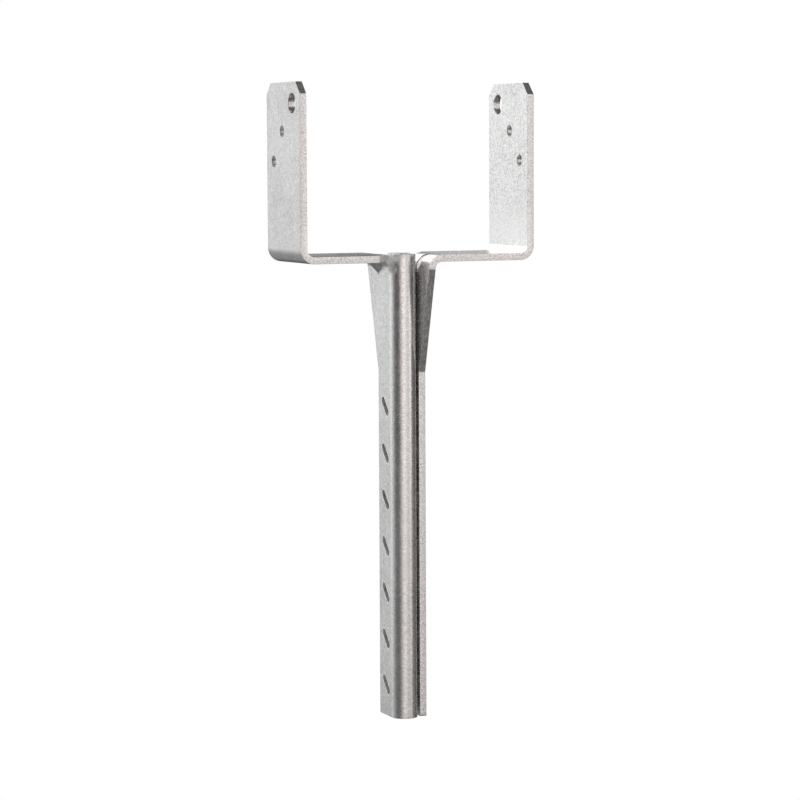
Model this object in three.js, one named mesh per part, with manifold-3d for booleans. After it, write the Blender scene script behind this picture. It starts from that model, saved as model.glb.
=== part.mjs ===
// Post anchor spike: a U-shaped fork that holds the foot of a timber post, on a spike that is
// set in concrete. It is made of two identical halves pressed from one thickness of plate.
// Each half is a cheek, half of the seat and a wing of the spike, and the wing's front is rolled
// into a hook. The hooks slide into one another, and a weld at each end of the spike locks them.
//
// Millimetres. The origin is the centre of the seat, on the plane that the post stands on.
// +Z is up, X runs across the fork from cheek to cheek, and Y runs along the width of the plate.
// The second half is the first one turned by half a turn about Z.

import * as THREE from 'three';
import { ConvexGeometry } from 'three/addons/geometries/ConvexGeometry.js';
import { mergeVertices } from 'three/addons/utils/BufferGeometryUtils.js';
import Module from 'manifold-3d';

const wasm = await Module();
wasm.setup();

// Plate and fork
const PLATE = 4.2; // thickness, zinc included
const FORK_GAP = 141; // clear width between the cheeks
const STRIP_WIDTH = 53.8;
const CHEEK_TOP = 101.2;
const CHEEK_CHAMFER = 7;
const BEND_INNER = 4.3; // inside radius of both plate bends
const BEND_OUTER = BEND_INNER + PLATE;

// Holes in a cheek, from the left cheek: across the plate, up from the seat, diameter
const CHEEK_HOLES = [
  { y: -14.2, z: 88.7, diameter: 11.8 },
  { y: 2.0, z: 72.6, diameter: 6.8 },
  { y: 15.7, z: 55.0, diameter: 6.8 },
];

// Wing of the spike
const WING_OUTER = 10.5; // from the middle plane to the wing's outer face
const WING_INNER = WING_OUTER - PLATE;
const WING_EDGE = 11; // from the axis to the wing's free edge, below the taper
const TAPER_TOP = -8.6;
const TAPER_END = -70.3;
const SPIKE_BOTTOM = -278.3;

// Slanting slots down the wing
const SLOT_COUNT = 7;
const SLOT_TOP = -91.1; // middle of the highest slot
const SLOT_PITCH = 28.1;
const SLOT_LENGTH = 13.4;
const SLOT_WIDTH = 4.2;
const SLOT_OFFSET = 1.2;
const SLOT_LEAN = THREE.MathUtils.degToRad(41); // from upright, top end away from the hook

// Rolled hook along the wing's front
const ROLL_START = -7.1; // where the flat wing ends, and the height of the roll's centre
const ROLL_OUTER = 8;
const ROLL_INNER = ROLL_OUTER - PLATE;
const ROLL_X = ROLL_OUTER - WING_OUTER;
const LEG_GAP = 0.3; // between the two return legs
const LEG_END = 6; // how far a leg reaches past the middle

// Clearance cut between the hook and the bent seat flange
const RELIEF_FLOOR = -9.4;
const RELIEF_WAIST = -4.6; // the cut widens from here down to its floor
const RELIEF_EDGE = -6; // front edge of the flange where it bends down
const RELIEF_TOP_ANGLE = THREE.MathUtils.degToRad(20); // start of the hook, round the roll
const RELIEF_LOW_ANGLE = THREE.MathUtils.degToRad(37); // the same beside the cut's floor
const CUTBACK_CORNER = -25; // where the flange's front edge begins to run back
const CUTBACK_SLOPE = 0.58; // across the fork, for each unit along the plate's width

// Pressed dart that stiffens the bend from seat to wing, measured from the bend's centre
const DART_Y = 10;
const DART_RIDGE = 0.5; // the ridge line, towards the bend's hollow side
const DART_RIDGE_REACH = 7.5;
const DART_ROOT = 6.1;
const DART_ROOT_HALF_WIDTH = 4.5;
const DART_GROOVE = 4.1; // the groove's floor, towards the bend's outer side
const DART_GROOVE_REACH = 9.5;
const DART_MOUTH = 12;
const DART_MOUTH_HALF_WIDTH = 4.9;

// Weld in a V groove between the two legs, at each end of the spike
const WELD_GROOVE = 2.2; // depth, and half the width
const WELD_CLEARANCE = 0.3; // from the weld to the groove's sides
const WELD_HALF_LENGTH = 5.6;

const CURVE_STEPS = 8;
const OVERLAP = 1; // how far one part of a piece runs into the next before they are joined

const BEND_X = -WING_OUTER - BEND_INNER; // centre of the bend from seat to wing, left half
const BEND_Z = -PLATE - BEND_INNER;

// The legs lie on either side of a plane through the Z axis. Its turn from the YZ plane makes
// the leg run straight on from the roll.
const LEG_TURN =
  Math.atan2(-ROLL_START, -ROLL_X) -
  Math.acos((ROLL_INNER - LEG_GAP / 2) / Math.hypot(ROLL_START, ROLL_X));

// Joining and cutting

function toSolid(geometry) {
  geometry.deleteAttribute('normal');
  geometry.deleteAttribute('uv');
  const merged = mergeVertices(geometry);
  return new wasm.Manifold(
    new wasm.Mesh({
      numProp: 3,
      vertProperties: Float32Array.from(merged.attributes.position.array),
      triVerts: Uint32Array.from(merged.index.array),
    }),
  );
}

function toGeometry(solid) {
  const { vertProperties, triVerts } = solid.getMesh();
  const geometry = new THREE.BufferGeometry();
  geometry.setAttribute('position', new THREE.BufferAttribute(vertProperties, 3));
  geometry.setIndex(new THREE.BufferAttribute(triVerts, 1));
  geometry.computeVertexNormals();
  return geometry;
}

// An outline seen from above (x, y), from the front (x, z) or from the side (y, z), extruded
// between two values of the remaining coordinate.
const VIEWS = {
  above: { right: [1, 0, 0], up: [0, 1, 0], depth: [0, 0, 1] },
  front: { right: [1, 0, 0], up: [0, 0, 1], depth: [0, -1, 0] },
  side: { right: [0, 1, 0], up: [0, 0, 1], depth: [1, 0, 0] },
};

function extrusion(outline, view, low, high) {
  const geometry = new THREE.ExtrudeGeometry(outline, {
    depth: high - low,
    bevelEnabled: false,
    curveSegments: CURVE_STEPS,
  });
  const { right, up, depth } = VIEWS[view];
  const axes = [right, up, depth].map((axis) => new THREE.Vector3(...axis));
  geometry.applyMatrix4(new THREE.Matrix4().makeBasis(...axes));
  const start = view === 'front' ? -high : low;
  geometry.translate(...depth.map((part) => part * start));
  return geometry;
}

function prism(outline, view, low, high) {
  return toSolid(extrusion(outline, view, low, high));
}

function polygon(points) {
  return new THREE.Shape(points.map(([x, y]) => new THREE.Vector2(x, y)));
}

// One half, drawn as the left one

// The plate bent from cheek to seat to wing, seen from the front.
function stripProfile() {
  const cheekInner = -FORK_GAP / 2;
  const cheekOuter = cheekInner - PLATE;
  const cheekBendX = cheekInner + BEND_INNER;
  const quarter = Math.PI / 2;
  const shape = new THREE.Shape();
  shape.moveTo(cheekInner, CHEEK_TOP);
  shape.lineTo(cheekOuter, CHEEK_TOP);
  shape.absarc(cheekBendX, BEND_INNER, BEND_OUTER, 2 * quarter, 3 * quarter, false);
  shape.absarc(BEND_X, BEND_Z, BEND_INNER, quarter, 0, true);
  shape.lineTo(-WING_OUTER, SPIKE_BOTTOM);
  shape.lineTo(-WING_INNER, SPIKE_BOTTOM);
  shape.absarc(BEND_X, BEND_Z, BEND_OUTER, 0, quarter, false);
  shape.absarc(cheekBendX, BEND_INNER, BEND_INNER, 3 * quarter, 2 * quarter, true);
  return shape;
}

function slotPath(z) {
  const radius = SLOT_WIDTH / 2;
  const reach = SLOT_LENGTH / 2 - radius;
  const dy = reach * Math.sin(SLOT_LEAN);
  const dz = reach * Math.cos(SLOT_LEAN);
  const path = new THREE.Path();
  path.absarc(SLOT_OFFSET + dy, z + dz, radius, -SLOT_LEAN, Math.PI - SLOT_LEAN, false);
  path.absarc(SLOT_OFFSET - dy, z - dz, radius, Math.PI - SLOT_LEAN, 2 * Math.PI - SLOT_LEAN, false);
  path.closePath();
  return path;
}

// The same plate seen from the side: chamfered cheek, tapering wing, holes and slots.
function sideOutline() {
  const half = STRIP_WIDTH / 2;
  const shape = polygon([
    [-half, CHEEK_TOP - CHEEK_CHAMFER],
    [-half, BEND_Z],
    [ROLL_START, BEND_Z],
    [ROLL_START, SPIKE_BOTTOM],
    [WING_EDGE, SPIKE_BOTTOM],
    [WING_EDGE, TAPER_END],
    [half, TAPER_TOP],
    [half, CHEEK_TOP - CHEEK_CHAMFER],
    [half - CHEEK_CHAMFER, CHEEK_TOP],
    [CHEEK_CHAMFER - half, CHEEK_TOP],
  ]);
  for (const { y, z, diameter } of CHEEK_HOLES) {
    const hole = new THREE.Path();
    hole.absarc(y, z, diameter / 2, 0, 2 * Math.PI, false);
    shape.holes.push(hole);
  }
  for (let i = 0; i < SLOT_COUNT; i += 1) {
    shape.holes.push(slotPath(SLOT_TOP - i * SLOT_PITCH));
  }
  return shape;
}

// Seen from above: what is cut from the flange in front of the hook.
function cutbackOutline() {
  const front = -STRIP_WIDTH / 2;
  const beyond = front - OVERLAP;
  const clearOfWing = OVERLAP - WING_INNER;
  const diagonalX = (y) => CUTBACK_CORNER + CUTBACK_SLOPE * (y - front);
  return polygon([
    [diagonalX(beyond), beyond],
    [clearOfWing, beyond],
    [clearOfWing, RELIEF_EDGE],
    [diagonalX(RELIEF_EDGE), RELIEF_EDGE],
  ]);
}

// Seen from above: the rolled hook and its straight return leg, from an angle round the roll.
function hookPlan(startAngle, straightLength) {
  const begin = Math.PI + startAngle;
  const end = 2 * Math.PI + LEG_TURN;
  const rollToLegEnd = LEG_END + ROLL_X * Math.sin(LEG_TURN) - ROLL_START * Math.cos(LEG_TURN);
  const along = [-Math.sin(LEG_TURN) * rollToLegEnd, Math.cos(LEG_TURN) * rollToLegEnd];
  const tip = (radius) => [
    ROLL_X + radius * Math.cos(LEG_TURN) + along[0],
    ROLL_START + radius * Math.sin(LEG_TURN) + along[1],
  ];
  const shape = new THREE.Shape();
  if (straightLength > 0) {
    shape.moveTo(-WING_INNER, ROLL_START + straightLength);
    shape.lineTo(-WING_OUTER, ROLL_START + straightLength);
  }
  shape.absarc(ROLL_X, ROLL_START, ROLL_OUTER, begin, end, false);
  shape.lineTo(...tip(ROLL_OUTER));
  shape.lineTo(...tip(ROLL_INNER));
  shape.absarc(ROLL_X, ROLL_START, ROLL_INNER, end, begin, true);
  return shape;
}

// What the widening of the relief cut takes from the hook.
function reliefCorner() {
  const point = (radius, angle, z) =>
    new THREE.Vector3(ROLL_X - radius * Math.cos(angle), ROLL_START - radius * Math.sin(angle), z);
  const radii = [ROLL_INNER - OVERLAP / 2, ROLL_OUTER + OVERLAP / 2];
  return toSolid(
    new ConvexGeometry(
      radii.flatMap((radius) => [
        point(radius, RELIEF_TOP_ANGLE, RELIEF_WAIST),
        point(radius, RELIEF_TOP_ANGLE, RELIEF_FLOOR),
        point(radius, RELIEF_LOW_ANGLE, RELIEF_FLOOR),
      ]),
    ),
  );
}

// The hook runs the whole length of the spike. Its top, beside the relief cut, starts part way
// round the roll.
function hook() {
  const lower = prism(hookPlan(0, OVERLAP), 'above', SPIKE_BOTTOM, RELIEF_FLOOR);
  const upper = prism(hookPlan(RELIEF_TOP_ANGLE, 0), 'above', RELIEF_FLOOR - OVERLAP, 0);
  return lower.add(upper).subtract(reliefCorner());
}

// A point of the dart: distance out from the bend's centre, distance along the bend's diagonal
// from flange to wing, and distance from the dart's middle.
function dartPoint(out, along, aside) {
  const diagonal = Math.SQRT1_2;
  const x = BEND_X + (out + along) * diagonal;
  const z = BEND_Z + (out - along) * diagonal;
  return new THREE.Vector3(x, DART_Y + aside, z);
}

// A wedge with one long edge along the bend's diagonal and one short edge across it.
function dartWedge(edge, reach, base, halfWidth) {
  return toSolid(
    new ConvexGeometry([
      dartPoint(edge, -reach, 0),
      dartPoint(edge, reach, 0),
      dartPoint(base, 0, -halfWidth),
      dartPoint(base, 0, halfWidth),
    ]),
  );
}

// V groove along the joint between the legs, opening upwards at the top of the spike and
// downwards at its bottom. A positive inset gives the weld that fills it.
function seamWedge(z, direction, inset, halfLength, mouth) {
  const depth = WELD_GROOVE - inset * Math.SQRT2;
  const outline = polygon([
    [0, z - direction * depth],
    [depth + mouth, z + direction * mouth],
    [-depth - mouth, z + direction * mouth],
  ]);
  return toSolid(extrusion(outline, 'front', -halfLength, halfLength).rotateZ(LEG_TURN));
}

function halfSolid() {
  const width = STRIP_WIDTH / 2;
  const strip = prism(stripProfile(), 'front', -width, width);
  const side = prism(sideOutline(), 'side', -FORK_GAP, OVERLAP - WING_INNER);
  const cutback = prism(cutbackOutline(), 'above', RELIEF_FLOOR, OVERLAP);
  const ridge = dartWedge(DART_RIDGE, DART_RIDGE_REACH, DART_ROOT, DART_ROOT_HALF_WIDTH);
  const groove = dartWedge(DART_GROOVE, DART_GROOVE_REACH, DART_MOUTH, DART_MOUTH_HALF_WIDTH);
  return strip
    .intersect(side)
    .subtract(cutback)
    .add(hook())
    .add(ridge)
    .subtract(groove)
    .subtract(seamWedge(0, 1, 0, LEG_END + OVERLAP, OVERLAP))
    .subtract(seamWedge(SPIKE_BOTTOM, -1, 0, LEG_END + OVERLAP, OVERLAP));
}

// Materials and assembly

const galvanised = { color: 0xb8b9ba, roughness: 0.45, metalness: 0.9 };
const weldMetal = { color: 0x9c9c9b, roughness: 0.6, metalness: 0.85 };

function piece(name, geometry, finish) {
  const mesh = new THREE.Mesh(geometry, new THREE.MeshStandardMaterial(finish));
  mesh.name = name;
  return mesh;
}

const anchor = new THREE.Group();

const leftHalf = piece('left_half', toGeometry(halfSolid()), galvanised);
const rightHalf = piece('right_half', toGeometry(halfSolid()), galvanised);
rightHalf.rotation.z = Math.PI;
anchor.add(leftHalf, rightHalf);

const topWeld = seamWedge(0, 1, WELD_CLEARANCE, WELD_HALF_LENGTH, 0);
const bottomWeld = seamWedge(SPIKE_BOTTOM, -1, WELD_CLEARANCE, WELD_HALF_LENGTH, 0);
anchor.add(
  piece('top_seam_weld', toGeometry(topWeld), weldMetal),
  piece('bottom_seam_weld', toGeometry(bottomWeld), weldMetal),
);

export default anchor;
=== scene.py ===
import math

import bpy
import numpy as np
from mathutils import Matrix, Vector
from mathutils.geometry import delaunay_2d_cdt


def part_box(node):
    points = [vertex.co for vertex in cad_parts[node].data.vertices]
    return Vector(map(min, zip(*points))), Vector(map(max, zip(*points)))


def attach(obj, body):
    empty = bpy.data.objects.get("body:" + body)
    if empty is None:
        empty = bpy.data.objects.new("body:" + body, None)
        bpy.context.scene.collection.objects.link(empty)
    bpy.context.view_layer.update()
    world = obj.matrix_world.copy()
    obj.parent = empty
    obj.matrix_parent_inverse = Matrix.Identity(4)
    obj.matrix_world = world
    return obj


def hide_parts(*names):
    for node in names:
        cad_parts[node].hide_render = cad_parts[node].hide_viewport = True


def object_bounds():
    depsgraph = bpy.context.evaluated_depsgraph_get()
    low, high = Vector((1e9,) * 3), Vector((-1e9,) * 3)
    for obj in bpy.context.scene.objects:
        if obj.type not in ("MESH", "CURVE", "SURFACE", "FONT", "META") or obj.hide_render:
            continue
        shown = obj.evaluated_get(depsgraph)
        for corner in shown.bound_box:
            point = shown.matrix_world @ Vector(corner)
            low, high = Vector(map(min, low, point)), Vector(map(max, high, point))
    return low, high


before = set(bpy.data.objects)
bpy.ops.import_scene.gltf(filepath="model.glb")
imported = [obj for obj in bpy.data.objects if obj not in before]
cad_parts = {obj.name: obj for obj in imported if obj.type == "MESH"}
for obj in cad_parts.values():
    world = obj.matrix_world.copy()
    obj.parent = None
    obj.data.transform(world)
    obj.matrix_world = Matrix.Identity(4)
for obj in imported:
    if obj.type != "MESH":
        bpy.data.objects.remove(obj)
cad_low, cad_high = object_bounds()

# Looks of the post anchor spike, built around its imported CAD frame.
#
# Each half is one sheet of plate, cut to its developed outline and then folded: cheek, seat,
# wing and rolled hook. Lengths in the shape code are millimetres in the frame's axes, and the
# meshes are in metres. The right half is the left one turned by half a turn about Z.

MM = 0.001
BODY = "root"

# ---------------------------------------------------------------- sizes

# the outer ones come from the frame
half_low, half_high = (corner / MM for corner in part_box("left_half"))
CHEEK_TOP = half_high.z
SPIKE_BOTTOM = half_low.z
STRIP_HALF = half_high.y
CHEEK_OUTER = -half_low.x

PLATE = 4.2
SKIN = PLATE / 2  # from the middle of the plate to a face
CHEEK_CHAMFER = 7.0
BEND_INNER = 4.3
BEND_MID = BEND_INNER + SKIN
CHEEK_HOLES = ((-14.2, 88.7, 5.9), (2.0, 72.6, 3.4), (15.7, 55.0, 3.4))  # y, z, radius

WING_OUTER = 10.5
WING_EDGE = 11.0
TAPER_TOP = -8.6
TAPER_END = -70.3

SLOT_COUNT = 7
SLOT_TOP = -91.1
SLOT_PITCH = 28.1
SLOT_REACH = 4.6  # from a slot's middle to the centre of its round end
SLOT_RADIUS = 2.1
SLOT_Y = 1.2
SLOT_LEAN = math.radians(41)

ROLL_Y = -7.1
ROLL_OUTER = 8.0
ROLL_MID = ROLL_OUTER - SKIN
ROLL_X = ROLL_OUTER - WING_OUTER
LEG_GAP = 0.3
LEG_END = 6.0
LEG_TURN = math.atan2(-ROLL_Y, -ROLL_X) - math.acos(
    (ROLL_OUTER - PLATE - LEG_GAP / 2) / math.hypot(ROLL_Y, ROLL_X)
)

RELIEF_FLOOR = -9.4
RELIEF_EDGE = -6.0
RELIEF_TOP_ANGLE = math.radians(20)  # where the hook starts, round the roll, at its top
RELIEF_LOW_ANGLE = math.radians(37)  # and beside the relief's floor
RELIEF_WAIST = -4.6
RELIEF_SHEAR = 13.0  # how far from the wing bend's start the front edge gets the sheared finish, painted lighter
CUTBACK_X = -25.0
CUTBACK_END = 1.95  # how far the cutback reaches into the wing bend, along the strip

DART_Y = 10.0
DART_RIDGE = (0.5, 0.56)  # out from the bend's centre, and rise for each unit aside squared
DART_GROOVE = (4.1, 0.62)
DART_SOFTNESS = (0.9, 0.5)  # on the outer face, and how much more on the post side
DART_HALF_WIDTH = 6.5
DART_REACH = 16.0  # from the bend's centre, along the seat and down the wing

# Roundings. A corner's is how far it reaches along the blank's sides.
CORNER = 0.6
CUTBACK_CORNER = 3.5
FLOOR_CORNER = 1.3
WAIST_CORNER = 1.5
RIM_ROUND = 0.13
RIM_STEPS = 3
SEAM_CHAMFER = 2.2

# Spacing of the mesh's points
PLAIN_STEP = 2.2
SIDE_STEP = 2.0  # to either side of the dart's strip
LEG_STEP = 1.8  # across the wing and the leg, and along straight outlines
CURVE_STEP = 0.6
DART_STEP = 0.4
OUTLINE_GAP = 0.5  # least distance from a free point to an outline's point
BORDER_GAP = 0.45  # and to a point where the rim begins
DART_BAND = 6.0  # the finer strip, to either side of the dart
DART_MARGIN = 8.0  # and how far it runs past the bend

# Weld beads
BEAD_HALF_LENGTH = 5.6
BEAD_HALF_WIDTH = 1.85
BEAD_DEPTH = 1.75
BEAD_FOOT = 0.05  # depth of the bead at its sides
BEAD_SINK = 0.02
BEAD_STATIONS = 70
BEAD_AROUND = 24
RIPPLE_PITCH = 1.15
RIPPLE_DEPTH = 0.13
RIPPLE_BOW = 0.35  # how far a ripple's middle runs ahead of its ends

# ---------------------------------------------------------------- developed sheet
# u runs down the strip from the cheek's top, v across it, h out of it. h is +SKIN on the face
# that meets the post and -SKIN on the outer face.

BEND_X = -WING_OUTER - BEND_INNER
BEND_Z = -PLATE - BEND_INNER
CHEEK_MID_X = -(CHEEK_OUTER - SKIN)
CHEEK_BEND_X = CHEEK_MID_X + BEND_MID
ARC = BEND_MID * math.pi / 2
U_CHEEK_BEND = CHEEK_TOP - BEND_INNER
U_SEAT = U_CHEEK_BEND + ARC
U_WING_BEND = U_SEAT + BEND_X - CHEEK_BEND_X
U_WING = U_WING_BEND + ARC

V_ROLL_END = ROLL_Y - ROLL_MID * (math.pi + LEG_TURN)
ROLL_TO_LEG_END = LEG_END + ROLL_X * math.sin(LEG_TURN) - ROLL_Y * math.cos(LEG_TURN)
V_LEG_END = V_ROLL_END - ROLL_TO_LEG_END
V_TAB = ROLL_Y - ROLL_MID * RELIEF_TOP_ANGLE
V_RELIEF_END = ROLL_Y - ROLL_MID * RELIEF_LOW_ANGLE
V_HOOK_TOP = ROLL_Y - 0.9  # beside the relief the hook lies beyond this


def u_at(z):
    """Where a height on the wing lies along the strip."""
    return U_WING + BEND_Z - z


def soft_min(a, b, k):
    """The smaller of a and b, blended where they are within k of each other."""
    gap = np.clip(0.5 + 0.5 * (b - a) / k, 0, 1)
    return b + (a - b) * gap - k * gap * (1 - gap)


def fold(u, v, h, hook):
    """Developed coordinates to folded ones, as arrays. hook marks points of the rolled part."""
    a = np.clip((u - U_CHEEK_BEND) / BEND_MID, 0, math.pi / 2)
    b = np.clip((u - U_WING_BEND) / BEND_MID, 0, math.pi / 2)
    on_seat = np.clip(u - U_SEAT, 0, U_WING_BEND - U_SEAT)
    above = np.maximum(U_CHEEK_BEND - u, 0)
    below = np.maximum(u - U_WING, 0)
    radius = BEND_MID - h
    x_cheek = CHEEK_BEND_X - radius * np.cos(a)
    z_cheek = BEND_INNER - radius * np.sin(a) + above
    x_wing = BEND_X + (BEND_MID + h) * np.sin(b)
    z_wing = BEND_Z + (BEND_MID + h) * np.cos(b) - below
    first = u < (U_SEAT + U_WING_BEND) / 2
    x = np.where(first, x_cheek, x_wing)
    z = np.where(first, z_cheek, z_wing)
    flat = (u > U_SEAT) & (u < U_WING_BEND)
    x = np.where(flat, CHEEK_BEND_X + on_seat, x)
    z = np.where(flat, h - SKIN, z)
    y = v.copy()

    # the dart is pressed towards the hollow side of the wing bend
    dx, dz = x - BEND_X, z - BEND_Z
    out, along = (dx + dz) * math.sqrt(0.5), (dx - dz) * math.sqrt(0.5)
    side = (h + SKIN) / PLATE
    aside = (v - DART_Y) ** 2
    floor = DART_RIDGE[0] + (DART_GROOVE[0] - DART_RIDGE[0]) * side
    rise = DART_RIDGE[1] + (DART_GROOVE[1] - DART_RIDGE[1]) * side
    softness = DART_SOFTNESS[0] + DART_SOFTNESS[1] * side
    pressed = soft_min(out, floor + rise * aside, softness)
    near = (np.abs(v - DART_Y) < DART_HALF_WIDTH) & (np.minimum(dx, dz) > -DART_REACH)
    out = np.where(near & (pressed < out), pressed, out)
    x = BEND_X + (out + along) * math.sqrt(0.5)
    z = BEND_Z + (out - along) * math.sqrt(0.5)

    # the hook is rolled about a vertical axis, then runs straight
    angle = np.pi + np.clip((ROLL_Y - v) / ROLL_MID, 0, math.pi + LEG_TURN)
    leg = np.maximum(V_ROLL_END - v, 0)
    r = ROLL_MID - h
    x_hook = ROLL_X + r * np.cos(angle) - leg * math.sin(LEG_TURN)
    y_hook = ROLL_Y + r * np.sin(angle) + leg * math.cos(LEG_TURN)
    z_hook = BEND_Z - (u - U_WING)
    x = np.where(hook, x_hook, x)
    y = np.where(hook, y_hook, y)
    z = np.where(hook, z_hook, z)
    return np.stack([x, y, z], axis=1)


def fold_frame(u, v, h, hook):
    """Points, with how they move along u and v, and the unit vector out of the sheet."""
    eps = 0.02  # half of the step that the slopes are taken over
    du = fold(u + eps, v, h, hook) - fold(u - eps, v, h, hook)
    dv = fold(u, v + eps, h, hook) - fold(u, v - eps, h, hook)
    normal = np.cross(du, dv)
    normal /= np.linalg.norm(normal, axis=1)[:, None]
    return fold(u, v, h, hook), du / (2 * eps), dv / (2 * eps), normal


def is_hook(u, v):
    """Whether points belong to the rolled part. The flange beside the relief doesn't."""
    beyond = (v < V_HOOK_TOP) | (u > u_at(RELIEF_FLOOR + 0.6))
    return (v < ROLL_Y) & (u > u_at(0.3)) & beyond


# ---------------------------------------------------------------- outline of the blank

def spacing(u, v):
    """How far apart the points of an outline lie."""
    in_bend = U_CHEEK_BEND < u < U_SEAT or U_WING_BEND < u < U_WING
    in_roll = u > u_at(0.3) and V_ROLL_END < v < ROLL_Y
    return CURVE_STEP if in_bend or in_roll else LEG_STEP


def arc_points(u, v, radius, start, end, steps):
    return [
        (u + radius * math.cos(t), v + radius * math.sin(t))
        for t in np.linspace(start, end, steps + 1)
    ]


def rounded(corners, steps=5):
    """A polygon from (u, v, reach) corners, each corner with a reach replaced by a short arc."""
    points = []
    for i, (u, v, reach) in enumerate(corners):
        p = Vector((u, v))
        if reach == 0:
            points.append((u, v))
            continue
        before = (Vector(corners[i - 1][:2]) - p).normalized() * reach
        after = (Vector(corners[(i + 1) % len(corners)][:2]) - p).normalized() * reach
        for k in range(steps + 1):
            t = k / steps
            points.append(tuple(p + (1 - t) ** 2 * before + t * t * after))
    return points


def split(p, q):
    """Points from p up to, not including, q, as close together as their place asks for."""
    middle = ((p[0] + q[0]) / 2, (p[1] + q[1]) / 2)
    if math.dist(p, q) <= spacing(*middle):
        return [p]
    return split(p, middle) + split(middle, q)


def subdivided(points):
    return [part for p, q in zip(points, points[1:] + points[:1]) for part in split(p, q)]


def without_doubles(points, least=0.08):
    kept = []
    for p in points:
        if not kept or math.dist(p, kept[-1]) > least:
            kept.append(p)
    if math.dist(kept[0], kept[-1]) < least:
        kept.pop()
    return kept


def blank_outline():
    """Counterclockwise outline of the whole blank."""
    u_end = u_at(SPIKE_BOTTOM)
    floor = u_at(RELIEF_FLOOR)
    corners = [
        (0, STRIP_HALF - CHEEK_CHAMFER, CORNER),
        (0, CHEEK_CHAMFER - STRIP_HALF, CORNER),
        (CHEEK_CHAMFER, -STRIP_HALF, CORNER),
        (U_WING_BEND + CUTBACK_X - BEND_X, -STRIP_HALF, CORNER),
        (U_WING_BEND + CUTBACK_END, RELIEF_EDGE, CUTBACK_CORNER),
        (floor, RELIEF_EDGE, FLOOR_CORNER),
        (floor, V_RELIEF_END, FLOOR_CORNER),
        (u_at(RELIEF_WAIST), V_TAB, WAIST_CORNER),
        (u_at(0), V_TAB, CORNER),
        (u_at(0), V_LEG_END, CORNER),
        (u_end, V_LEG_END, CORNER),
        (u_end, WING_EDGE, CORNER),
        (u_at(TAPER_END), WING_EDGE, CORNER),
        (u_at(TAPER_TOP), STRIP_HALF, CORNER),
        (CHEEK_CHAMFER, STRIP_HALF, CORNER),
    ]
    return without_doubles(subdivided(rounded(corners)))


def hole_outlines():
    """Clockwise outlines of the holes and slots."""
    loops = []
    for y, z, radius in CHEEK_HOLES:
        steps = 64 if radius > 4 else 44
        loops.append(arc_points(CHEEK_TOP - z, y, radius, 2 * math.pi, 0, steps)[:-1])
    for i in range(SLOT_COUNT):
        u = u_at(SLOT_TOP - i * SLOT_PITCH)
        du, dv = -SLOT_REACH * math.cos(SLOT_LEAN), SLOT_REACH * math.sin(SLOT_LEAN)
        lean = math.atan2(dv, du)
        first = arc_points(
            u + du, SLOT_Y + dv, SLOT_RADIUS, lean + math.pi / 2, lean - math.pi / 2, 12
        )
        second = arc_points(
            u - du, SLOT_Y - dv, SLOT_RADIUS, lean - math.pi / 2, lean - 1.5 * math.pi, 12
        )
        loops.append(without_doubles(subdivided(first + second)))
    return loops


def outward(loop):
    """Miter vectors at a loop's points, away from the material on the loop's left."""
    p = np.array(loop)
    forward = np.roll(p, -1, axis=0) - p
    forward /= np.linalg.norm(forward, axis=1)[:, None]
    right = np.stack([forward[:, 1], -forward[:, 0]], axis=1)
    both = right + np.roll(right, 1, axis=0)
    both /= np.linalg.norm(both, axis=1)[:, None]
    return both / np.maximum((both * right).sum(axis=1), 0.5)[:, None]


def inside(points, loops):
    """Even-odd test against closed loops."""
    odd = np.zeros(len(points), bool)
    x, y = points[:, 0], points[:, 1]
    for loop in loops:
        for (x0, y0), (x1, y1) in zip(loop, np.roll(loop, -1, axis=0)):
            if y0 == y1:
                continue
            crosses = (y0 > y) != (y1 > y)
            odd ^= crosses & (x < x0 + (y - y0) * (x1 - x0) / (y1 - y0))
    return odd


def clear_of(points, loops, least):
    """The points that are more than a least distance from every loop point."""
    rim = np.concatenate([np.array(loop) for loop in loops])
    keep = np.ones(len(points), bool)
    for start in range(0, len(points), 2000):
        part = points[start : start + 2000]
        gap = np.linalg.norm(part[:, None] - rim[None], axis=2).min(axis=1)
        keep[start : start + 2000] = gap > least
    return points[keep]


def lines(*spans):
    """Coordinates from (start, end, step) spans."""
    values = []
    for start, end, step in spans:
        count = max(1, round(abs(end - start) / step))
        values += list(np.linspace(start, end, count, endpoint=False))
    return np.array(values + [spans[-1][1]])


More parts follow.
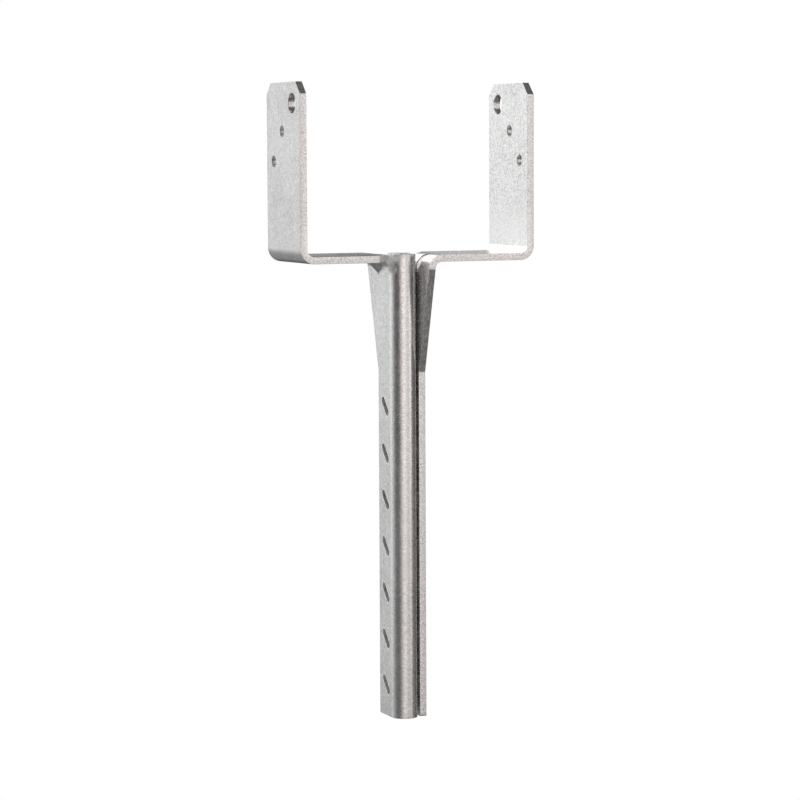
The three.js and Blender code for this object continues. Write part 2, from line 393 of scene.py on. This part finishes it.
def grid_points(loops):
    """Free points inside the blank, closer together where it is bent, rolled or pressed."""
    dart_low, dart_high = DART_Y - DART_BAND, DART_Y + DART_BAND
    by_dart = lines(
        (-STRIP_HALF, dart_low, SIDE_STEP),
        (dart_low, dart_high, DART_STEP),
        (dart_high, STRIP_HALF, SIDE_STEP),
    )
    across = lines((-STRIP_HALF, STRIP_HALF, PLAIN_STEP))
    fine_start, fine_end = U_WING_BEND - DART_MARGIN, U_WING + DART_MARGIN
    bottom = u_at(SPIKE_BOTTOM)
    cheek = lines(
        (0, U_CHEEK_BEND, PLAIN_STEP),
        (U_CHEEK_BEND, U_SEAT, CURVE_STEP),
        (U_SEAT, fine_start, PLAIN_STEP),
    )
    bend = lines((fine_start, fine_end, DART_STEP))
    cutback = lines((fine_start, U_WING_BEND + 1.5, SIDE_STEP))
    wing_u = lines((fine_end, bottom, PLAIN_STEP))
    wing_v = lines((ROLL_Y + CURVE_STEP, STRIP_HALF, LEG_STEP))
    beside_roll = lines((u_at(RELIEF_FLOOR), fine_end, CURVE_STEP))
    hook_u = lines((u_at(0), bottom, PLAIN_STEP))
    hook_v = lines((V_LEG_END, V_ROLL_END, LEG_STEP), (V_ROLL_END, ROLL_Y, CURVE_STEP))
    blocks = [
        (cheek[:-1], across),
        (bend[:-1], by_dart[by_dart > RELIEF_EDGE - 0.1]),
        (cutback, across[across < RELIEF_EDGE - 0.2]),
        (wing_u, wing_v),
        (beside_roll[:-1], np.array([ROLL_Y + CURVE_STEP])),
        (hook_u, hook_v),
    ]
    points = np.concatenate(
        [np.stack(np.meshgrid(u, v, indexing="ij"), axis=-1).reshape(-1, 2) for u, v in blocks]
    )
    points = points[inside(points, loops)]
    return clear_of(points, loops, OUTLINE_GAP)


def triangulated(loops, points):
    """Triangles over the loops' points followed by the free points."""
    coords = [Vector(p) for loop in loops for p in loop] + [Vector(p) for p in points]
    edges, start = [], 0
    for loop in loops:
        count = len(loop)
        edges += [(start + i, start + (i + 1) % count) for i in range(count)]
        start += count
    found, _, faces, origin, _, _ = delaunay_2d_cdt(coords, edges, [], 0, 1e-5)
    if len(found) != len(coords):
        raise RuntimeError(f"the blank's outline crosses itself: {len(found)} {len(coords)}")
    source = [ids[0] for ids in origin]
    triangles = np.array([[source[i] for i in face] for face in faces])
    flat = np.array([tuple(c) for c in coords])
    middle = flat[triangles].mean(axis=1)
    return triangles[inside(middle, loops)]


# ---------------------------------------------------------------- folded half

# A rim's profile is a list of (inset, height below the face, turn of the normal), from a face to
# the plate's side.

def rounded_profile(radius):
    turns = [k / RIM_STEPS * math.pi / 2 for k in range(RIM_STEPS + 1)]
    return [(radius * (1 - math.sin(t)), radius * (1 - math.cos(t)), t) for t in turns]


def bevel_profile(width):
    shares = [k / RIM_STEPS for k in range(RIM_STEPS + 1)]
    turns = [0] + [math.pi / 4] * (RIM_STEPS - 1) + [math.pi / 2]
    return [(width * (1 - s), width * s, t) for s, t in zip(shares, turns)]


def die_roll_profile():
    """The drawn-in edge that a punch leaves on the sheet's outer face."""
    return [(1.5, 0.0, 0.14), (1.0, 0.1, 0.21), (0.25, 0.35, 0.3), (0.0, 0.8, math.pi / 2)]


class Sheet:
    """The points of a half, as rows of u, v, h, turn of the normal from the face, outward u and
    v, side, share of the rim and share of the sheared finish with its painted light."""

    def __init__(self):
        self.blocks = []
        self.count = 0

    def add(self, uv, h, turn, away, side, rim, sheared_and_painted_light):
        """Adds points and returns their numbers."""
        one = np.ones(len(uv))
        columns = [uv, h * one, turn * one, away, side * one, rim * one, sheared_and_painted_light * one]
        self.blocks.append(np.column_stack(columns))
        self.count += len(uv)
        return np.arange(self.count - len(uv), self.count)

    def rows(self):
        return np.concatenate(self.blocks)


def seam_share(p):
    """How far rim points belong to the seam groove in the legs' ends, from 0 to 1."""
    to_end = np.minimum(abs(p[:, 0] - u_at(0)), abs(p[:, 0] - u_at(SPIKE_BOTTOM)))
    from_roll = np.clip((V_ROLL_END + 1 - p[:, 1]) / 2, 0, 1)
    from_corner = np.clip((p[:, 1] - V_LEG_END - CORNER) / 2, 0, 1)
    return (to_end < 0.01) * from_roll * from_corner


def floor_share(p):
    """How far rim points belong to the relief's floor, from 0 to 1."""
    low = np.clip(p[:, 0] - u_at(RELIEF_FLOOR + 1.2), 0, 1)
    on_floor = p[:, 0] < u_at(RELIEF_FLOOR - 0.1)
    between = (p[:, 1] < RELIEF_EDGE + 0.1) & (p[:, 1] > V_RELIEF_END - 0.1)
    return low * (on_floor & between)


def add_rim(sheet, loop, number):
    """Adds the rings of one loop's rim and returns them, from the post side to the outer face."""
    p = np.array(loop)
    in_slot = number > len(CHEEK_HOLES)
    # slot walls and the front edge by the relief get the sheared finish: rougher, and painted
    # lighter to stand in for light in their shade
    by_relief = (abs(p[:, 0] - U_WING_BEND) < RELIEF_SHEAR) & (p[:, 1] < RELIEF_EDGE + 1)
    sheared_and_painted_light = np.where(in_slot | ((number == 0) & by_relief), 1.0, 0.0)
    away = outward(loop)
    unit = away / np.linalg.norm(away, axis=1)[:, None]
    rings = []
    for side, share, other in (
        (1, seam_share(p), bevel_profile(SEAM_CHAMFER)),
        (-1, floor_share(p), die_roll_profile()),
    ):
        found = []
        for plain_step, other_step in zip(rounded_profile(RIM_ROUND), other):
            inset, down, turn = (
                a * (1 - share) + b * share for a, b in zip(plain_step, other_step)
            )
            uv = p - away * inset[:, None]
            found.append(sheet.add(uv, side * (SKIN - down), turn, unit, side, 1.0, sheared_and_painted_light))
        rings += found[::side]
    return rings


def rim_faces(rings):
    faces = []
    for a, b in zip(rings, rings[1:]):
        for i in range(len(a)):
            j = (i + 1) % len(a)
            faces.append((a[i], b[i], b[j], a[j]))
    return faces


def side_faces(sheet, borders, grid, side):
    """Fills one face of the sheet between its border rings, and returns the triangles."""
    rows = sheet.rows()
    border = [rows[ring, :2] for ring in borders]
    free = clear_of(grid[inside(grid, border)], border, BORDER_GAP)
    triangles = triangulated([ring.tolist() for ring in border], free)
    added = sheet.add(free, side * SKIN, 0, np.zeros_like(free), side, 0, 0)
    index = np.concatenate(borders + [added])
    return [tuple(t) for t in index[triangles[:, ::side]]]


def half_arrays():
    """Vertices, normals, shading attributes and faces of one folded half."""
    loops = [blank_outline()] + hole_outlines()
    sheet = Sheet()
    rims = [add_rim(sheet, loop, number) for number, loop in enumerate(loops)]
    faces = [face for rings in rims for face in rim_faces(rings)]
    grid = grid_points(loops)
    faces += side_faces(sheet, [rings[0] for rings in rims], grid, 1)
    faces += side_faces(sheet, [rings[-1] for rings in rims], grid, -1)

    u, v, h, turn, away_u, away_v, side, rim, sheared_and_painted_light = sheet.rows().T
    points, du, dv, normal = fold_frame(u, v, h, is_hook(u, v))
    away = du * away_u[:, None] + dv * away_v[:, None]
    length = np.linalg.norm(away, axis=1)
    away /= np.where(length > 0, length, 1)[:, None]
    face_normal = normal * side[:, None]
    away -= face_normal * (away * face_normal).sum(axis=1)[:, None]
    normal = face_normal * np.cos(turn)[:, None] + away * np.sin(turn)[:, None]
    normal /= np.linalg.norm(normal, axis=1)[:, None]
    # painted highlight: a bright line along the fold into the hook, on the outer face below the
    # relief
    fold_line = (side < 0) * (u > u_at(RELIEF_FLOOR)) * np.exp(-(((v - ROLL_Y) / 0.5) ** 2))
    layers = {"post_side": (side + 1) / 2, "rim": rim, "sheared_and_painted_light": sheared_and_painted_light, "painted_fold_highlight": fold_line}
    return points, normal, layers, faces


def mesh_object(name, points, faces, normals=None, layers=None):
    mesh = bpy.data.meshes.new(name)
    mesh.from_pydata([tuple(p * MM) for p in points], [], [[int(i) for i in f] for f in faces])
    mesh.polygons.foreach_set("use_smooth", [True] * len(mesh.polygons))
    for key, values in (layers or {}).items():
        layer = mesh.attributes.new(key, "FLOAT", "POINT")
        layer.data.foreach_set("value", np.asarray(values, np.float32))
    if normals is not None:
        mesh.normals_split_custom_set_from_vertices([tuple(n) for n in normals])
    mesh.validate()
    obj = bpy.data.objects.new(name, mesh)
    bpy.context.scene.collection.objects.link(obj)
    return obj


# ---------------------------------------------------------------- weld beads

def bead_point(s, t, z, direction, crown):
    """A point at a share s of the bead's half length and at a turn t round its section."""
    end = math.sqrt(1 - abs(s) ** 6)
    along = s * BEAD_HALF_LENGTH
    ripple = RIPPLE_DEPTH * (0.5 + 0.5 * math.cos(2 * math.pi * along / RIPPLE_PITCH))
    across, rise = math.cos(t), math.sin(t)
    if rise > 0:
        lift = (crown - ripple) * rise
        along -= RIPPLE_BOW * (1 - across * across) * direction
    else:
        lift = -BEAD_DEPTH * (1 - abs(across)) - BEAD_FOOT
    aside = across * BEAD_HALF_WIDTH * end
    return (
        aside * math.cos(LEG_TURN) - along * math.sin(LEG_TURN),
        aside * math.sin(LEG_TURN) + along * math.cos(LEG_TURN),
        z + direction * (lift * end - BEAD_SINK),
    )


def bead(name, z, direction, crown):
    """A rippled bead in the V groove between the two legs. Its face looks up for a direction of
    1 and down for -1."""
    points = [
        bead_point(-1 + 2 * i / BEAD_STATIONS, 2 * math.pi * k / BEAD_AROUND, z, direction, crown)
        for i in range(BEAD_STATIONS + 1)
        for k in range(BEAD_AROUND)
    ]
    faces = []
    for i in range(BEAD_STATIONS):
        a, b = i * BEAD_AROUND, (i + 1) * BEAD_AROUND
        for k in range(BEAD_AROUND):
            j = (k + 1) % BEAD_AROUND
            faces.append((a + k, a + j, b + j, b + k)[::direction])
    last = BEAD_STATIONS * BEAD_AROUND
    faces.append(tuple(range(BEAD_AROUND))[::-direction])
    faces.append(tuple(range(last, last + BEAD_AROUND))[::direction])
    return mesh_object(name, np.array(points), faces)


# ---------------------------------------------------------------- materials

class Nodes:
    """Short calls for building a node tree."""

    def __init__(self, tree):
        self.tree = tree
        tree.nodes.clear()

    def add(self, kind, inputs=None, **settings):
        node = self.tree.nodes.new(kind)
        for key, value in settings.items():
            setattr(node, key, value)
        for key, value in (inputs or {}).items():
            socket = node.inputs[key]
            if isinstance(value, bpy.types.NodeSocket):
                self.tree.links.new(value, socket)
            else:
                socket.default_value = value
        return node

    def math(self, operation, *values, clamp=False):
        node = self.add("ShaderNodeMath", dict(enumerate(values)), operation=operation)
        node.use_clamp = clamp
        return node.outputs[0]

    def ramp(self, value, low, high, to_low=0.0, to_high=1.0):
        return self.add(
            "ShaderNodeMapRange",
            {"Value": value, "From Min": low, "From Max": high, "To Min": to_low, "To Max": to_high},
            interpolation_type="SMOOTHSTEP",
        ).outputs[0]

    def product(self, *factors):
        total = factors[0]
        for factor in factors[1:]:
            total = self.math("MULTIPLY", total, factor)
        return total

    def total(self, *terms):
        added = terms[0]
        for term in terms[1:]:
            added = self.math("ADD", added, term)
        return added

    def noise(self, vector, scale, detail=2.0, roughness=0.5):
        return self.add(
            "ShaderNodeTexNoise",
            {"Vector": vector, "Scale": scale, "Detail": detail, "Roughness": roughness},
        ).outputs[0]


def zinc(name, tone, rough, grain, lumps):
    """Hot-dip galvanised steel: faint spangle, fine grain and soft lumps. The post side is more
    grainy
    and has painted light: paler all over and brighter above the cheek's bend. Sheared edges are
    rougher and painted lighter, a painted lift of their shade. The fold line has a painted
    highlight."""
    material = bpy.data.materials.new(name)
    material.use_nodes = True
    n = Nodes(material.node_tree)
    where = n.add("ShaderNodeTexCoord").outputs["Object"]
    post_side, rim, sheared_and_painted_light, painted_fold_highlight = (
        n.add("ShaderNodeAttribute", attribute_name=layer).outputs["Fac"]
        for layer in ("post_side", "rim", "sheared_and_painted_light", "painted_fold_highlight")
    )
    spangle = n.add("ShaderNodeTexVoronoi", {"Vector": where, "Scale": 420.0, "Randomness": 1.0})
    cell = n.add("ShaderNodeSeparateColor", {"Color": spangle.outputs["Color"]}).outputs[0]
    cloud = n.noise(where, 45.0, 4.0)
    mottle = n.noise(where, 420.0, 3.0, 0.6)
    fine = n.noise(where, 1000.0, 2.0, 0.6)
    speck = n.noise(where, 2300.0, 2.0)
    wave = n.noise(where, 260.0, 2.0)

    # painted highlight: the post side is painted brighter just above the bend of the cheek, standing
    # in for light reflected from the seat
    z = n.add("ShaderNodeSeparateXYZ", {0: where}).outputs[2]
    painted_glow_above_bend = n.product(post_side, n.ramp(z, 0.036, 0.006), n.ramp(z, -0.001, 0.002))

    grit = n.math("MULTIPLY_ADD", post_side, 1.5, 1.15)
    value = n.total(
        n.math("MULTIPLY_ADD", cell, 0.05, tone - 0.025),
        n.ramp(cloud, 0.3, 0.7, -0.03, 0.03),
        n.ramp(mottle, 0.3, 0.7, -0.045, 0.045),
        n.math("MULTIPLY", n.ramp(fine, 0.33, 0.67, -0.10, 0.09), grit),
        # painted light: the post side is painted paler, standing in for the brighter light its faces
        # catch
        n.math("MULTIPLY", post_side, 0.13),
    )
    pits = n.ramp(speck, 0.30, 0.38, 0.78, 1.0)
    value = n.math("MULTIPLY", value, pits)
    # rims a little darker; painted light above the cheek's bend and on the sheared edges
    for part, change in ((rim, -0.05), (painted_glow_above_bend, 0.15), (sheared_and_painted_light, 0.15)):
        value = n.math("MULTIPLY_ADD", part, change, value)
    # painted highlight along the fold line
    value = n.math("MULTIPLY_ADD", painted_fold_highlight, 0.25, value, clamp=True)
    colour = n.add("ShaderNodeCombineColor", {0: value, 1: value, 2: value}).outputs[0]

    roughness = n.total(
        n.math("MULTIPLY_ADD", cell, 0.08, rough - 0.04),
        n.ramp(cloud, 0.35, 0.65, -0.03, 0.04),
        n.math("MULTIPLY", sheared_and_painted_light, 0.22),
    )
    height = n.total(n.math("MULTIPLY", fine, grain), n.math("MULTIPLY", wave, lumps))
    bump = n.add("ShaderNodeBump", {"Height": height, "Strength": 1.0, "Distance": MM})
    looks = {"Base Color": colour, "Metallic": 0.86, "Roughness": roughness}
    shader = n.add("ShaderNodeBsdfPrincipled", {**looks, "Normal": bump.outputs[0]})
    n.add("ShaderNodeOutputMaterial", {"Surface": shader.outputs[0]})
    return material


# ---------------------------------------------------------------- build the pieces

plate_zinc = zinc("plate_zinc", 0.80, 0.27, 0.034, 0.08)
weld_zinc = zinc("weld_zinc", 0.66, 0.42, 0.05, 0.12)

points, normals, layers, faces = half_arrays()
half_turn = np.diag([-1.0, -1.0, 1.0])
left = mesh_object("left_half_plate", points, faces, normals, layers)
right = mesh_object("right_half_plate", points @ half_turn, faces, normals @ half_turn, layers)
top_bead = bead("top_seam_bead", 0.0, 1, 0.0)
bottom_bead = bead("bottom_seam_bead", SPIKE_BOTTOM, -1, 0.45)

for piece, node, material, slot in (
    (left, "left_half", plate_zinc, "galvanised_plate"),
    (right, "right_half", plate_zinc, "galvanised_plate"),
    (top_bead, "top_seam_weld", weld_zinc, "galvanised_weld"),
    (bottom_bead, "bottom_seam_weld", weld_zinc, "galvanised_weld"),
):
    piece.data.materials.append(material)
    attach(piece, BODY)
    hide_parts(node)

# ---------------------------------------------------------------- studio

WHITE = (1.0, 1.0, 1.0, 1.0)
CARD_SIZE = 0.44
CARD_LEVEL = 0.37


def pale_floor():
    """A floor just under the spike that neither lights nor shades the object."""
    bpy.ops.mesh.primitive_plane_add(size=40.0, location=(0, 0, SPIKE_BOTTOM * MM - 0.0012))
    floor = bpy.context.object
    floor.name = "pale_floor"
    floor.visible_glossy = False
    floor.visible_diffuse = False
    floor.visible_shadow = False
    material = bpy.data.materials.new("pale_floor")
    material.use_nodes = True
    n = Nodes(material.node_tree)
    glow = n.add("ShaderNodeEmission", {"Color": WHITE, "Strength": 1.0})
    n.add("ShaderNodeOutputMaterial", {"Surface": glow.outputs[0]})
    floor.data.materials.append(material)


def front_bank(n, turn, rise):
    """The bank in front. It is strongest at its left end, and has a stronger right end that
    stops before it gets low."""
    right_end = n.product(n.ramp(turn, 121, 134), n.ramp(rise, -11, -3))
    return n.product(
        n.ramp(turn, 29, 79),
        n.ramp(turn, 151, 138),
        n.ramp(turn, 80, 112, 1.13, 0.69),
        n.math("MULTIPLY_ADD", right_end, 0.95, 1.0),
        n.ramp(rise, -26, -1),
        n.ramp(rise, 46, 28),
    )


def back_bank(n, back_turn, rise, low_end):
    """The bank behind. It is strongest to the left and high up, and has no low right end."""
    return n.product(
        n.ramp(back_turn, -10, 61),
        n.ramp(back_turn, 58, 66, 1.7, 1.0),
        n.ramp(back_turn, 114, 101),
        n.math("SUBTRACT", 1.0, low_end),
        n.ramp(rise, -18, -1, 0.22, 1.0),
        n.ramp(rise, -60, -40),
        n.ramp(rise, 0, 20, 0.60, 1.55),
        n.ramp(rise, 68, 44),
    )


def dim_room(n, turn, rise, low_end):
    """The dim light from everywhere. It is dimmer above, to the left, low in front and below
    the right end of the bank behind."""
    from_left = n.math("ABSOLUTE", n.math("SUBTRACT", turn, 15.0))
    left = n.product(n.ramp(from_left, 50, 15), n.ramp(rise, 40, 15), n.ramp(rise, -12, 0), -0.05)
    low_front = n.product(n.ramp(turn, 90, 110), n.ramp(rise, -15, -28), -0.05)
    level = n.ramp(rise, 20, -20, 0.078, 0.14)
    return n.total(level, left, low_front, n.math("MULTIPLY", low_end, -0.07))


def soft_studio():
    """Two soft banks of light, one warm in front and one neutral behind, in a dim room. Where
    the camera looks past the object it sees plain white."""
    world = bpy.data.worlds.new("soft_studio")
    world.use_nodes = True
    n = Nodes(world.node_tree)
    way = n.add("ShaderNodeSeparateXYZ", {0: n.add("ShaderNodeTexCoord").outputs["Generated"]})
    x, y, z = way.outputs
    # in degrees: a turn of 0 is to the left, 90 in front and -90 behind
    turn = n.math("ARCTAN2", n.math("MULTIPLY", y, -1.0), n.math("MULTIPLY", x, -1.0))
    turn = n.math("DEGREES", turn)
    back_turn = n.math("MULTIPLY", turn, -1.0)
    rise = n.math("DEGREES", n.math("ARCSINE", z))
    low_end = n.product(n.ramp(back_turn, 90, 106), n.ramp(rise, 8, -4))

    def tinted(amount, tint):
        scaled = n.add("ShaderNodeVectorMath", {0: tint, "Scale": amount}, operation="SCALE")
        return scaled.outputs[0]

    light = tinted(dim_room(n, turn, rise, low_end), (1.0, 0.98, 0.97))
    front = tinted(front_bank(n, turn, rise), (1.13, 1.045, 1.01))
    behind = tinted(back_bank(n, back_turn, rise, low_end), (1.0, 1.0, 1.0))
    for bank in (front, behind):
        light = n.add("ShaderNodeVectorMath", {0: light, 1: bank}).outputs[0]
    seen = n.add("ShaderNodeLightPath").outputs["Is Camera Ray"]
    shown = n.add("ShaderNodeMix", {"Factor": seen, "A": light, "B": (1, 1, 1)}, data_type="VECTOR")
    glow = n.add("ShaderNodeBackground", {"Color": shown.outputs["Result"], "Strength": 1.0})
    n.add("ShaderNodeOutputWorld", {"Surface": glow.outputs[0]})
    bpy.context.scene.world = world


def side_card():
    """A small soft light behind and to the right, seen in the top of the right seat."""
    data = bpy.data.lights.new("side_card", "AREA")
    data.shape = "SQUARE"
    data.size = CARD_SIZE
    data.energy = CARD_LEVEL * math.pi * CARD_SIZE ** 2
    card = bpy.data.objects.new("side_card", data)
    bpy.context.scene.collection.objects.link(card)
    card.location = (0.50, 0.6, 0.2)
    card.rotation_euler = (math.radians(-90), 0, 0)
    card.visible_camera = False


soft_studio()
side_card()
pale_floor()
bpy.context.scene.cycles.max_bounces = 16  # the hooks reflect one another
bpy.context.scene.cycles.glossy_bounces = 12
bpy.context.scene.view_settings.view_transform = "Standard"

# ---------------------------------------------------------------- camera

VIEW_TURN = 0.40590  # to the left of -Y, radians
VIEW_RISE = 0.08910
VIEW_ROLL = -0.0046
VIEW_DISTANCE = 1.67237
VIEW_LENS = 125.69  # millimetres, on a 36 mm sensor
VIEW_AIM = Vector((-0.00126, 0.0, 0.00095))  # from the middle of the object's box


def set_camera():
    level_share = math.cos(VIEW_RISE)
    back = Vector(
        (
            -math.sin(VIEW_TURN) * level_share,
            -math.cos(VIEW_TURN) * level_share,
            math.sin(VIEW_RISE),
        )
    )
    level = (-back).cross(Vector((0, 0, 1))).normalized()
    upright = level.cross(-back)
    right_axis = math.cos(VIEW_ROLL) * level + math.sin(VIEW_ROLL) * upright
    up_axis = math.cos(VIEW_ROLL) * upright - math.sin(VIEW_ROLL) * level
    data = bpy.data.cameras.new("camera")
    data.lens = VIEW_LENS
    data.sensor_width = 36
    camera = bpy.data.objects.new("camera", data)
    bpy.context.scene.collection.objects.link(camera)
    place = Matrix((right_axis, up_axis, back)).transposed().to_4x4()
    place.translation = (cad_low + cad_high) / 2 + VIEW_AIM + back * VIEW_DISTANCE
    camera.matrix_world = place
    bpy.context.scene.camera = camera


set_camera()
